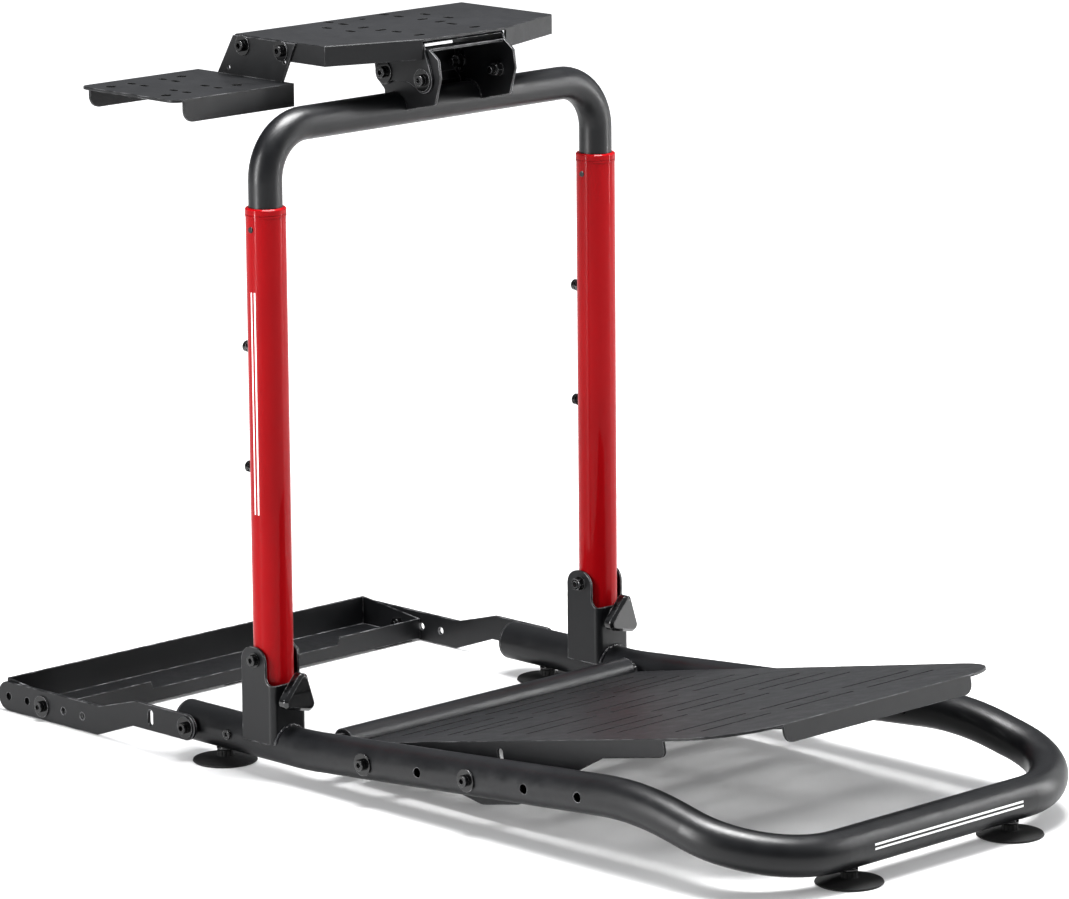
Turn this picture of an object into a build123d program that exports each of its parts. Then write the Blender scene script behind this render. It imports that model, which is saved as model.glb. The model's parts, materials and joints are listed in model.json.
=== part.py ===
"""Racing wheel and pedal stand: tube base, telescoping fold-down posts, tilting plates and caster tray.

+X points forward (the driver's toes), +Y to the left and +Z up. The origin lies on the floor,
midway between the two posts. All sizes are millimetres.
"""
from build123d import *
import math
import os

os.makedirs("parts", exist_ok=True)

# ---------------------------------------------------------------- driving dimensions
SIDES = {"right": -1, "left": 1}

# tubes
RAIL_R = 22.5                # base rails and posts: 45 mm tube
RAIL_WALL = 1.8
HANDLE_R = 19.0              # telescoping handle: 38 mm tube
HANDLE_WALL = 1.6
CROSS_R = 16.0               # stretcher between the rails: 32 mm tube
CROSS_WALL = 1.5
SHEET = 3.0                  # folded steel plates and brackets

# base, seen from the side
HALF_TRACK = 257.0           # rail and post axes to the middle plane
RAIL_Z = 38.5                # rail axis height where the rail is level
REAR_X = -145.0              # open rear ends of the rails
RISE_X = 60.0                # the rails start to climb here
CREST_X, CREST_Z = 575.0, 79.5
FRONT_X = 760.0              # axis of the front bar
RISE_BEND, CREST_BEND, CORNER_BEND = 400.0, 360.0, 108.0

# posts and handle
POST_BOTTOM, POST_TOP = 104.0, 638.5
COLLAR_H = 10.0
PIVOT_X, PIVOT_Z = -3.0, 136.5        # fold axis of the posts
HANDLE_TOP = 735.5                    # axis of the handle's top bar
HANDLE_FOOT = 215.0                   # lower ends of the handle's legs
HANDLE_BEND = 58.0
LOCK_HEIGHTS = (350.0, 487.0)         # height-locking screws
RIVET_Z = 625.0

# wheel plate and its tilting bracket
PLATE_TOP = 819.5
PLATE_REAR, PLATE_SHOULDER, PLATE_NOSE = -138.0, 12.0, 52.0
PLATE_HALF, NOSE_HALF = 176.0, 64.0
FLANGE_DROP = 23.0
TILT_X, TILT_Z = 49.0, 773.0          # tilt axis
TILT_LOCK_X, TILT_LOCK_Z = -14.0, 776.0
TILT_DEG = 8.0
CHEEK_Y = 56.5                        # inner faces of the handle's cheeks
EAR_GAP = 0.4                         # between the cheeks and the plate's ears

# shifter plate
SHIFT_TOP = 773.0
SHIFT_REAR, SHIFT_FRONT = -202.0, -40.0
SHIFT_OUT = -352.0
SHIFT_FLANGE = 26.0
SHIFT_BOLT_X, SHIFT_BOLT_Z = (-121.5, -57.0), 808.0

# pedal plate
DECK_PIVOT_X = 170.0
DECK_SLOPE = 11.0                     # degrees, rising forward
DECK_TOP = 14.6                       # plate's upper face above the pivot, square to the plate
DECK_HALF = 225.0
DECK_REAR, DECK_FRONT = -71.5, 526.0  # along the plate, from the pivot
DECK_CORNER = 84.0                    # radius of the front corners
DECK_HEEL = 4.0                       # radius of the rear corners
DECK_FLANGE = 20.0
TILT_HOLE_R, TILT_HOLE_DEG = 165.5, -6.45
TILT_SLOT_DEG = 7.2                   # half the sweep of the tilt slot
RAIL_HOLES_X = (257.0, 424.0, 506.0)  # spare holes along the rails
DECK_LOCK_X = 335.0

# caster tray
ARM_PIVOT_X = -118.0
ARM_Y, ARM_T = 284.0, 4.0             # inner faces and thickness of the side arms
TRAY_REAR, TRAY_FRONT = -441.0, -338.0
TRAY_SHEET = 2.0
TRAY_BOLT_X, TRAY_BOLT_Z = -374.0, 17.0
PAD_H = 3.0

# M8 hardware
M8_R = 4.0
M8_SNUG = 4.02                        # clamped parts on the same body
M8_PIVOT = 4.06                       # running fit
M8_CLEAR = 4.4
HEAD_R, HEAD_H = 6.5, 5.5
WASHER_R, WASHER_H = 12.8, 1.6
NUT_R, NUT_H, NUT_COLLAR = 7.5, 6.5, 1.5
GAP = 0.3                             # air between pieces on different bodies

# feet
FOOT_R, FOOT_STEM_R, STUD_R = 37.0, 9.0, 4.95
FOOT_SPOTS = {
    "right_rear": (-86.0, -HALF_TRACK),
    "left_rear": (-86.0, HALF_TRACK),
    "right_front": (FRONT_X, -128.0),
    "left_front": (FRONT_X, 128.0),
}

# ---------------------------------------------------------------- derived dimensions
PLATE_BOTTOM = PLATE_TOP - SHEET
RAIL_SIDE = HALF_TRACK + RAIL_R              # outermost face of a rail
RAIL_INSIDE = HALF_TRACK - RAIL_R
CHEEK_OUT = CHEEK_Y + SHEET
EAR_IN = CHEEK_OUT + EAR_GAP
EAR_OUT = EAR_IN + SHEET
ARM_OUT = ARM_Y + ARM_T
DECK_IN = DECK_HALF - SHEET


def rail_z(x):
    """Height of the rail axis at x, on the level and climbing stretches."""
    climb = (CREST_Z - RAIL_Z) / (CREST_X - RISE_X)
    return RAIL_Z + max(0.0, x - RISE_X) * climb


DECK_PIVOT_Z = rail_z(DECK_PIVOT_X)
DECK_LOCK_Z = rail_z(DECK_LOCK_X)


def facing(x, y, z, side):
    """Plane at a point, looking outward along +Y or -Y, with its own x along +X."""
    return Plane(origin=(x, y, z), x_dir=(1, 0, 0), z_dir=(0, side, 0))


def save(piece, name):
    piece.part.label = name
    export_step(piece.part, f"parts/{name}.step")


def socket_screw(seat, length, head_r=HEAD_R, head_h=HEAD_H, shank_r=M8_R):
    """Socket-head screw whose head stands on the seat plane."""
    bevel = 0.15 * head_h
    with BuildSketch(seat) as shank:
        Circle(shank_r)
    extrude(shank.sketch, amount=-length)
    with BuildSketch(seat) as head:
        Circle(head_r)
    extrude(head.sketch, amount=head_h - bevel)
    with BuildSketch(seat.offset(head_h - bevel)) as crown:
        Circle(head_r)
    extrude(crown.sketch, amount=bevel, taper=35)
    with BuildSketch(seat.offset(head_h)) as key:
        RegularPolygon(radius=0.52 * head_r, side_count=6)
    extrude(key.sketch, amount=-0.55 * head_h, mode=Mode.SUBTRACT)


def washer(seat, radius=WASHER_R, height=WASHER_H):
    with BuildSketch(seat) as ring:
        Circle(radius)
        Circle(M8_SNUG, mode=Mode.SUBTRACT)
    extrude(ring.sketch, amount=height)


def lock_nut(seat):
    """Hexagon nut with a nylon collar, standing on the seat plane."""
    with BuildSketch(seat) as hexagon:
        RegularPolygon(radius=NUT_R, side_count=6)
        Circle(M8_SNUG, mode=Mode.SUBTRACT)
    extrude(hexagon.sketch, amount=NUT_H)
    with BuildSketch(seat.offset(NUT_H)) as collar:
        Circle(NUT_R - 1.2)
        Circle(M8_SNUG, mode=Mode.SUBTRACT)
    extrude(collar.sketch, amount=NUT_COLLAR)


# ================================================================= BASE
rail_half = [
    (REAR_X, -HALF_TRACK, RAIL_Z),
    (RISE_X, -HALF_TRACK, RAIL_Z),
    (CREST_X, -HALF_TRACK, CREST_Z),
    (FRONT_X, -HALF_TRACK, RAIL_Z),
]
rail_points = rail_half + [(x, -y, z) for x, y, z in reversed(rail_half)]
rail_bends = [RISE_BEND, CREST_BEND, CORNER_BEND, CORNER_BEND, CREST_BEND, RISE_BEND]
CROSS_X, CROSS_Z = 78.0, 45.0
CROSS_HALF = 224.0
CROSS_STUD_R = 5.0
RIB_R, RIB_PITCH = 11.0, 1.8           # ribbed nut between the stretcher and the rail
SCREW_X, SCREW_R = -55.0, 2.5
INSERT_R = 7.0
SPARE_HOLE_R = 5.4

with BuildPart() as base_frame:
    with BuildLine() as rail_path:
        FilletPolyline(*rail_points, radius=rail_bends)
    with BuildSketch(Plane(origin=rail_path.line @ 0, z_dir=rail_path.line % 0)):
        Circle(RAIL_R)
        Circle(RAIL_R - RAIL_WALL, mode=Mode.SUBTRACT)
    sweep(path=rail_path.line)
    # bolt holes go through both walls of both rails
    with BuildSketch(Plane.XZ) as rail_holes:
        for hole_x in (DECK_PIVOT_X, DECK_LOCK_X):
            with Locations((hole_x, rail_z(hole_x))):
                Circle(M8_CLEAR)
        for hole_x in RAIL_HOLES_X:
            with Locations((hole_x, rail_z(hole_x))):
                Circle(SPARE_HOLE_R)
    extrude(amount=RAIL_SIDE + 5, both=True, mode=Mode.SUBTRACT)
    for side in SIDES.values():
        with BuildSketch(facing(SCREW_X, side * HALF_TRACK, RAIL_Z + 2, side)):
            Circle(SCREW_R)
        extrude(amount=RAIL_R + 2, mode=Mode.SUBTRACT)
        with BuildSketch(facing(ARM_PIVOT_X, side * HALF_TRACK, RAIL_Z, side)):
            Circle(M8_SNUG)
        extrude(amount=RAIL_R + 2, mode=Mode.SUBTRACT)
        with BuildSketch(facing(CROSS_X, side * HALF_TRACK, CROSS_Z, -side)):
            Circle(CROSS_STUD_R)
        extrude(amount=RAIL_R + 2, mode=Mode.SUBTRACT)
    with BuildSketch(Plane.XY):
        with Locations(*FOOT_SPOTS.values()):
            Circle(INSERT_R)
    extrude(amount=RAIL_Z, mode=Mode.SUBTRACT)
save(base_frame, "base_frame")

CAP_T = 3.0
with BuildPart() as rail_end_caps:
    for side in SIDES.values():
        rear_end = Plane(origin=(REAR_X, side * HALF_TRACK, RAIL_Z), z_dir=(-1, 0, 0))
        with BuildSketch(rear_end):
            Circle(RAIL_R)
        extrude(amount=CAP_T - 1)
        with BuildSketch(rear_end.offset(CAP_T - 1)):
            Circle(RAIL_R)
        extrude(amount=1, taper=40)
        with BuildSketch(rear_end):
            Circle(RAIL_R - RAIL_WALL - 0.05)
            Circle(RAIL_R - RAIL_WALL - 2.5, mode=Mode.SUBTRACT)
        extrude(amount=-12)
save(rail_end_caps, "rail_end_caps")

with BuildPart() as cross_tube:
    for side in SIDES.values():
        with BuildSketch(facing(CROSS_X, 0, CROSS_Z, side)):
            Circle(CROSS_R)
            Circle(CROSS_R - CROSS_WALL, mode=Mode.SUBTRACT)
        extrude(amount=CROSS_HALF)
        with BuildSketch(facing(CROSS_X, side * (CROSS_HALF - 6), CROSS_Z, side)):
            Circle(CROSS_R)
            Circle(CROSS_STUD_R + 0.02, mode=Mode.SUBTRACT)
        extrude(amount=5)
save(cross_tube, "cross_tube")

with BuildPart() as cross_tube_studs:
    for side in SIDES.values():
        with BuildSketch(facing(CROSS_X, side * (CROSS_HALF - 18), CROSS_Z, side)):
            Circle(CROSS_STUD_R - 0.02)
        extrude(amount=34)
        for rib in range(5):
            with BuildSketch(facing(CROSS_X, side * (CROSS_HALF + 0.1 + RIB_PITCH * rib), CROSS_Z, side)):
                Circle(RIB_R)
            extrude(amount=RIB_PITCH - 0.6)
save(cross_tube_studs, "cross_tube_studs")

with BuildPart() as foot_inserts:
    with BuildSketch(Plane.XY.offset(RAIL_Z - RAIL_R - 1.5)):
        with Locations(*FOOT_SPOTS.values()):
            Circle(9.5)
            Circle(STUD_R + 0.05, mode=Mode.SUBTRACT)
    extrude(amount=1.5)
    with BuildSketch(Plane.XY.offset(RAIL_Z - RAIL_R)):
        with Locations(*FOOT_SPOTS.values()):
            Circle(INSERT_R - 0.02)
            Circle(STUD_R + 0.05, mode=Mode.SUBTRACT)
    extrude(amount=14)
save(foot_inserts, "foot_inserts")

with BuildPart() as frame_screws:
    for side in SIDES.values():
        seat = facing(SCREW_X, side * RAIL_SIDE, RAIL_Z + 2, side)
        socket_screw(seat, 7, head_r=5.8, head_h=3.2, shank_r=SCREW_R - 0.02)
save(frame_screws, "frame_screws")

# ---------------------------------------------------------------- post brackets
BRACKET_HALF = 26.0
BRACKET_REAR, BRACKET_WEB = -25.5, 23.2
BEND_OUT = 8.0                        # outer radius of the folded corners
BRACKET_FOOT, WEB_TOP, EAR_TOP = 42.0, 110.0, 151.0
EAR_FRONT = 14.0
KNOB_Z = 99.0
BOSS_R, BOSS_H = 9.0, 5.0
bracket_front = BRACKET_WEB + SHEET

for name, side in SIDES.items():
    axis_y = side * HALF_TRACK
    with BuildPart() as post_bracket:
        with BuildSketch(Plane.XZ.offset(-axis_y)) as profile:
            with BuildLine():
                Polyline(
                    (BRACKET_REAR, BRACKET_FOOT),
                    (BRACKET_REAR, EAR_TOP),
                    (EAR_FRONT, EAR_TOP),
                    (EAR_FRONT, WEB_TOP),
                    (bracket_front, WEB_TOP),
                    (bracket_front, BRACKET_FOOT),
                    close=True,
                )
            make_face()
            fillet(profile.vertices().group_by(Axis.Y)[-1], 17)
            inner = profile.vertices().filter_by(lambda v: abs(v.X - EAR_FRONT) < 1 and abs(v.Y - WEB_TOP) < 1)
            fillet(inner, 9)
        extrude(amount=BRACKET_HALF, both=True)
        # the channel is open at the rear, top and bottom
        with BuildSketch(Plane.XY) as channel:
            with Locations((BRACKET_WEB - 50, axis_y)):
                Rectangle(100, 2 * (BRACKET_HALF - SHEET))
            fillet(channel.vertices().group_by(Axis.X)[-1], BEND_OUT - SHEET)
        extrude(amount=EAR_TOP + 10, mode=Mode.SUBTRACT)
        outer_bends = post_bracket.edges().filter_by(Axis.Z).filter_by(lambda e: e.center().X > bracket_front - 1)
        fillet(outer_bends, BEND_OUT)
        # weld beads join the flanges to the rail, and the web sits saddled on it
        with BuildSketch(Plane.XY.offset(BRACKET_FOOT)):
            for bead in (-1, 1):
                with Locations((1, axis_y + bead * (BRACKET_HALF - SHEET - 1.5))):
                    Rectangle(50, 3)
        extrude(amount=3.5)
        with BuildSketch(Plane(origin=(-60, axis_y, RAIL_Z), z_dir=(1, 0, 0))):
            Circle(RAIL_R)
        extrude(amount=120, mode=Mode.SUBTRACT)
        # threaded boss for the lock knob
        knob_axis = Plane(origin=(bracket_front, axis_y, KNOB_Z), x_dir=(0, 1, 0), z_dir=(1, 0, 0))
        with BuildSketch(knob_axis):
            Circle(BOSS_R)
        extrude(amount=BOSS_H)
        with BuildSketch(knob_axis.offset(-SHEET - 1)):
            Circle(M8_R + 0.05)
        extrude(amount=SHEET + BOSS_H + 2, mode=Mode.SUBTRACT)
        with BuildSketch(Plane.XZ.offset(-axis_y)):
            with Locations((PIVOT_X, PIVOT_Z)):
                Circle(M8_PIVOT)
        extrude(amount=BRACKET_HALF + 2, both=True, mode=Mode.SUBTRACT)
    save(post_bracket, f"{name}_post_bracket")

# ---------------------------------------------------------------- screws, washers and nuts of the base
BOLT_SPAN = 2 * BRACKET_HALF
PEDAL_BOLT = RAIL_SIDE + WASHER_H - DECK_IN + 12
TRAY_BOLT = 28.0                      # ends inside the rail
deck_bolt_spots = ((DECK_PIVOT_X, DECK_PIVOT_Z), (DECK_LOCK_X, DECK_LOCK_Z))

with BuildPart() as post_pivot_bolts:
    for side in SIDES.values():
        outside = side * (HALF_TRACK + BRACKET_HALF + WASHER_H)
        socket_screw(facing(PIVOT_X, outside, PIVOT_Z, side), BOLT_SPAN + 2 * WASHER_H + NUT_H + 2)
save(post_pivot_bolts, "post_pivot_bolts")

for bolt_name, (bolt_x, bolt_z) in zip(("pedal_pivot_bolts", "pedal_tilt_bolts"), deck_bolt_spots):
    with BuildPart() as pedal_bolts:
        for side in SIDES.values():
            socket_screw(facing(bolt_x, side * (RAIL_SIDE + WASHER_H), bolt_z, side), PEDAL_BOLT)
    save(pedal_bolts, bolt_name)

with BuildPart() as tray_pivot_bolts:
    for side in SIDES.values():
        socket_screw(facing(ARM_PIVOT_X, side * (ARM_OUT + GAP + WASHER_H), RAIL_Z, side), TRAY_BOLT)
save(tray_pivot_bolts, "tray_pivot_bolts")

with BuildPart() as base_washers:
    for side in SIDES.values():
        post_outer = side * (HALF_TRACK + BRACKET_HALF)
        post_inner = side * (HALF_TRACK - BRACKET_HALF)
        washer(facing(PIVOT_X, post_outer, PIVOT_Z, side), radius=8.5)
        washer(facing(PIVOT_X, post_inner, PIVOT_Z, -side), radius=8.5)
        washer(facing(ARM_PIVOT_X, side * (ARM_OUT + GAP), RAIL_Z, side))
        for bolt_x, bolt_z in deck_bolt_spots:
            washer(facing(bolt_x, side * RAIL_SIDE, bolt_z, side))
            washer(facing(bolt_x, side * (DECK_IN - GAP), bolt_z, -side), radius=9)
save(base_washers, "base_washers")

with BuildPart() as base_lock_nuts:
    for side in SIDES.values():
        inner = side * (HALF_TRACK - BRACKET_HALF - WASHER_H)
        lock_nut(facing(PIVOT_X, inner, PIVOT_Z, -side))
        for bolt_x, bolt_z in deck_bolt_spots:
            lock_nut(facing(bolt_x, side * (DECK_IN - GAP - WASHER_H), bolt_z, -side))
save(base_lock_nuts, "base_lock_nuts")

with BuildPart() as pedal_spacers:
    for side in SIDES.values():
        for bolt_x, bolt_z in deck_bolt_spots:
            with BuildSketch(facing(bolt_x, side * (DECK_HALF + GAP), bolt_z, side)):
                Circle(9)
                Circle(M8_SNUG, mode=Mode.SUBTRACT)
            extrude(amount=RAIL_INSIDE - DECK_HALF - GAP)
save(pedal_spacers, "pedal_spacers")

with BuildPart() as tray_pivot_spacers:
    for side in SIDES.values():
        with BuildSketch(facing(ARM_PIVOT_X, side * RAIL_SIDE, RAIL_Z, side)):
            Circle(10)
            Circle(M8_SNUG, mode=Mode.SUBTRACT)
        extrude(amount=ARM_Y - RAIL_SIDE - GAP)
save(tray_pivot_spacers, "tray_pivot_spacers")

# ================================================================= FEET
FOOT_RIM, FOOT_DOME, STEM_TOP = 2.6, 5.5, 13.0
for name, (foot_x, foot_y) in FOOT_SPOTS.items():
    with BuildPart() as foot_pad:
        with BuildSketch(Plane(origin=(foot_x, foot_y, 0), x_dir=(1, 0, 0), z_dir=(0, -1, 0))) as section:
            with BuildLine():
                Polyline(
                    (0, 0),
                    (FOOT_R - 1.5, 0),
                    (FOOT_R, 1.2),
                    (FOOT_R - 0.6, FOOT_RIM),
                    (FOOT_STEM_R + 3, FOOT_DOME),
                    (FOOT_STEM_R, FOOT_DOME + 1),
                    (FOOT_STEM_R, STEM_TOP),
                    (0, STEM_TOP),
                    close=True,
                )
            make_face()
        revolve(axis=Axis((foot_x, foot_y, 0), (0, 0, 1)))
        # knurled grip round the stem
        with BuildSketch(Plane(origin=(foot_x, foot_y, STEM_TOP + 1))):
            with PolarLocations(FOOT_STEM_R, 12):
                Circle(0.9)
        extrude(amount=-(STEM_TOP - FOOT_DOME), mode=Mode.SUBTRACT)
        with BuildSketch(Plane(origin=(foot_x, foot_y, 3))):
            Circle(STUD_R)
        extrude(amount=STEM_TOP, mode=Mode.SUBTRACT)
    save(foot_pad, f"{name}_foot_pad")
    with BuildPart() as foot_stud:
        with BuildSketch(Plane(origin=(foot_x, foot_y, 3))):
            Circle(STUD_R)
        extrude(amount=32)
        with BuildSketch(Plane(origin=(foot_x, foot_y, 35))):
            Circle(STUD_R)
        extrude(amount=1, taper=40)
    save(foot_stud, f"{name}_foot_stud")

# ================================================================= POSTS
PLUG_R = RAIL_R - RAIL_WALL - 0.05
TONGUE_FRONT, TONGUE_BACK, TONGUE_BOTTOM = 21.0, 12.0, 86.0
COLLAR_R = RAIL_R + 0.5
BUSH_DEPTH = 30.0

for name, side in SIDES.items():
    axis_y = side * HALF_TRACK
    with BuildPart() as post_tube:
        with BuildSketch(Plane(origin=(0, axis_y, POST_BOTTOM))):
            Circle(RAIL_R)
            Circle(RAIL_R - RAIL_WALL, mode=Mode.SUBTRACT)
        extrude(amount=POST_TOP - POST_BOTTOM)
        with BuildSketch(Plane.XZ.offset(-axis_y)):
            with Locations((PIVOT_X, PIVOT_Z)):
                Circle(M8_PIVOT)
            with Locations((0, RIVET_Z)):
                Circle(2.5)
        extrude(amount=RAIL_R + 2, both=True, mode=Mode.SUBTRACT)
        for lock_z in LOCK_HEIGHTS:
            with BuildSketch(Plane(origin=(0, axis_y, lock_z), z_dir=(-1, 0, 0))):
                Circle(M8_SNUG)
            extrude(amount=RAIL_R + 2, mode=Mode.SUBTRACT)
    save(post_tube, f"{name}_post_tube")

with BuildPart() as post_plugs:
    for side in SIDES.values():
        axis_y = side * HALF_TRACK
        with BuildSketch(Plane(origin=(0, axis_y, POST_BOTTOM))):
            Circle(PLUG_R)
        extrude(amount=42)
        with BuildSketch(Plane(origin=(0, axis_y, POST_BOTTOM))):
            with Locations(((TONGUE_FRONT + TONGUE_BACK) / 2 - 1, 0)):
                Rectangle(TONGUE_FRONT - TONGUE_BACK, 22)
        extrude(amount=-(POST_BOTTOM - TONGUE_BOTTOM))
    with BuildSketch(Plane.XZ):
        with Locations((PIVOT_X, PIVOT_Z)):
            Circle(M8_PIVOT)
    extrude(amount=RAIL_SIDE + 5, both=True, mode=Mode.SUBTRACT)
save(post_plugs, "post_plugs")

with BuildPart() as post_collars:
    for side in SIDES.values():
        axis_y = side * HALF_TRACK
        with BuildSketch(Plane(origin=(0, axis_y, POST_TOP - BUSH_DEPTH))):
            Circle(PLUG_R)
        extrude(amount=BUSH_DEPTH)
        with BuildSketch(Plane(origin=(0, axis_y, POST_TOP))):
            Circle(COLLAR_R)
        extrude(amount=COLLAR_H - 1.5)
        with BuildSketch(Plane(origin=(0, axis_y, POST_TOP + COLLAR_H - 1.5))):
            Circle(COLLAR_R)
        extrude(amount=1.5, taper=45)
        # groove round the collar
        with BuildSketch(Plane(origin=(0, axis_y, POST_TOP + 2))):
            Circle(COLLAR_R + 1)
            Circle(COLLAR_R - 0.6, mode=Mode.SUBTRACT)
        extrude(amount=0.8, mode=Mode.SUBTRACT)
        with BuildSketch(Plane(origin=(0, axis_y, POST_TOP - BUSH_DEPTH))):
            Circle(HANDLE_R + 0.05)
        extrude(amount=BUSH_DEPTH + COLLAR_H, mode=Mode.SUBTRACT)
save(post_collars, "post_collars")

with BuildPart() as collar_rivets:
    for side in SIDES.values():
        for face in SIDES.values():
            seat = facing(0, side * HALF_TRACK + face * RAIL_R, RIVET_Z, face)
            with BuildSketch(seat):
                Circle(2.45)
            extrude(amount=-(RAIL_WALL - 0.2))
            with BuildSketch(seat):
                Circle(3.6)
            extrude(amount=1.0, taper=30)
save(collar_rivets, "collar_rivets")

with BuildPart() as height_lock_nuts:
    for side in SIDES.values():
        for lock_z in LOCK_HEIGHTS:
            back = Plane(origin=(-RAIL_R, side * HALF_TRACK, lock_z), x_dir=(0, 1, 0), z_dir=(-1, 0, 0))
            with BuildSketch(back):
                RegularPolygon(radius=NUT_R, side_count=6)
                Circle(M8_SNUG, mode=Mode.SUBTRACT)
            extrude(amount=NUT_H)
save(height_lock_nuts, "height_lock_nuts")

with BuildPart() as height_lock_bolts:
    for side in SIDES.values():
        for lock_z in LOCK_HEIGHTS:
            seat_x = -RAIL_R - NUT_H - 2.0
            seat = Plane(origin=(seat_x, side * HALF_TRACK, lock_z), x_dir=(0, 1, 0), z_dir=(-1, 0, 0))
            socket_screw(seat, -seat_x - HANDLE_R - GAP)
save(height_lock_bolts, "height_lock_bolts")

# ---------------------------------------------------------------- lock knobs
KNOB_SEAT = bracket_front + BOSS_H + 1.0
KNOB_HUB, KNOB_BODY, KNOB_BEVEL = 3.0, 8.5, 3.5
KNOB_CORNER, KNOB_ROUND, KNOB_TURN = 34.0, 8.5, 78.0

for name, side in SIDES.items():
    knob_plane = Plane(origin=(KNOB_SEAT, side * HALF_TRACK, KNOB_Z), x_dir=(0, 1, 0), z_dir=(1, 0, 0))
    with BuildPart() as lock_knob:
        with BuildSketch(knob_plane):
            Circle(BOSS_R + 1)
        extrude(amount=KNOB_HUB)
        with BuildSketch(knob_plane.offset(KNOB_HUB)) as lobes:
            RegularPolygon(radius=KNOB_CORNER, side_count=3, rotation=KNOB_TURN)
            fillet(lobes.vertices(), KNOB_ROUND)
        extrude(amount=KNOB_BODY)
        with BuildSketch(knob_plane.offset(KNOB_HUB + KNOB_BODY)) as crown:
            RegularPolygon(radius=KNOB_CORNER, side_count=3, rotation=KNOB_TURN)
            fillet(crown.vertices(), KNOB_ROUND)
        extrude(amount=KNOB_BEVEL, taper=45)
        with BuildSketch(knob_plane):
            Circle(M8_R)
        extrude(amount=KNOB_HUB + KNOB_BODY - 3, mode=Mode.SUBTRACT)
    save(lock_knob, f"{name}_lock_knob")
    with BuildPart() as knob_stud:
        with BuildSketch(Plane(origin=(TONGUE_FRONT + GAP, side * HALF_TRACK, KNOB_Z), z_dir=(1, 0, 0))):
            Circle(M8_R)
        extrude(amount=KNOB_SEAT + KNOB_HUB + KNOB_BODY - 3 - TONGUE_FRONT - GAP)
    save(knob_stud, f"{name}_knob_stud")

# ================================================================= HANDLE
handle_half = [(0, -HALF_TRACK, HANDLE_FOOT), (0, -HALF_TRACK, HANDLE_TOP)]
with BuildPart() as handle_tube:
    with BuildLine() as handle_path:
        FilletPolyline(*handle_half, *[(x, -y, z) for x, y, z in reversed(handle_half)], radius=HANDLE_BEND)
    with BuildSketch(Plane(origin=handle_path.line @ 0, z_dir=handle_path.line % 0)):
        Circle(HANDLE_R)
        Circle(HANDLE_R - HANDLE_WALL, mode=Mode.SUBTRACT)
    sweep(path=handle_path.line)
save(handle_tube, "handle_tube")

with BuildPart() as handle_guides:
    for side in SIDES.values():
        with BuildSketch(Plane(origin=(0, side * HALF_TRACK, HANDLE_FOOT + 2))):
            Circle(PLUG_R)
            Circle(HANDLE_R + 0.01, mode=Mode.SUBTRACT)
        extrude(amount=28)
save(handle_guides, "handle_guides")

# two cheeks welded to the top bar and joined by a narrow bridge at the top front
BRIDGE_TOP, BRIDGE_FRONT, BRIDGE_DEPTH = 807.5, 54.0, 10.0
with BuildPart() as tilt_cheeks:
    for side in SIDES.values():
        with BuildSketch(facing(0, side * CHEEK_Y, 0, side)) as cheek:
            with BuildLine():
                Polyline(
                    (-17, -side * 741),
                    (-17, -side * 756),
                    (-26, -side * 764),
                    (-26, -side * 790),
                    (-18, -side * 797),
                    (42, -side * BRIDGE_TOP),
                    (56, -side * BRIDGE_TOP),
                    (71, -side * 797),
                    (74, -side * 776),
                    (65, -side * 746),
                    (20, -side * 736),
                    close=True,
                )
            make_face()
            fillet(cheek.vertices(), 4)
        extrude(amount=SHEET)
    with BuildSketch(Plane.XY.offset(BRIDGE_TOP - SHEET)):
        with Locations((BRIDGE_FRONT - BRIDGE_DEPTH / 2, 0)):
            Rectangle(BRIDGE_DEPTH, 2 * CHEEK_OUT)
    extrude(amount=SHEET)
    # rear web between the cheeks
    with BuildSketch(Plane.XZ):
        with BuildLine():
            Polyline(
                (-17, 741),
                (-17, 756),
                (-26, 764),
                (-26, 790),
                (-18, 797),
                (-18, 794.3),
                (-24, 789.1),
                (-24, 764.9),
                (-15, 756.9),
                (-15, 741),
                close=True,
            )
        make_face()
    extrude(amount=CHEEK_Y, both=True)
    # weld seat round the bar
    with BuildSketch(Plane.XZ):
        with Locations((0, HANDLE_TOP)):
            Circle(HANDLE_R + 0.01)
        with Locations((TILT_X, TILT_Z)):
            Circle(M8_PIVOT)
    extrude(amount=CHEEK_OUT + 5, both=True, mode=Mode.SUBTRACT)
    # arc slots let the rear screws swing with the wheel plate
    lock_reach = math.hypot(TILT_LOCK_X - TILT_X, TILT_LOCK_Z - TILT_Z)
    lock_angle = math.degrees(math.atan2(TILT_LOCK_Z - TILT_Z, TILT_LOCK_X - TILT_X))
    with BuildSketch(Plane.XZ):
        with BuildLine() as swing:
            CenterArc((TILT_X, TILT_Z), lock_reach, lock_angle - TILT_DEG, 2 * TILT_DEG)
        SlotArc(swing.edge(), 2 * M8_CLEAR)
    extrude(amount=CHEEK_OUT + 5, both=True, mode=Mode.SUBTRACT)
save(tilt_cheeks, "tilt_cheeks")

# ================================================================= WHEEL PLATE
plate_outline = [
    (PLATE_REAR, -PLATE_HALF),
    (PLATE_SHOULDER, -PLATE_HALF),
    (PLATE_NOSE, -NOSE_HALF),
    (PLATE_NOSE, NOSE_HALF),
    (PLATE_SHOULDER, PLATE_HALF),
    (PLATE_REAR, PLATE_HALF),
]
# slot pairs are (x, half spacing across): some run fore and aft, some across
fore_slots = [(-128, 43), (-103, 43), (-94, 76), (-55, 76), (-14, 43)]
cross_slots = [(-66, 46), (-37, 46), (23, 43)]
WHEEL_SLOT_L, WHEEL_SLOT_W = 15.0, 7.5

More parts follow.
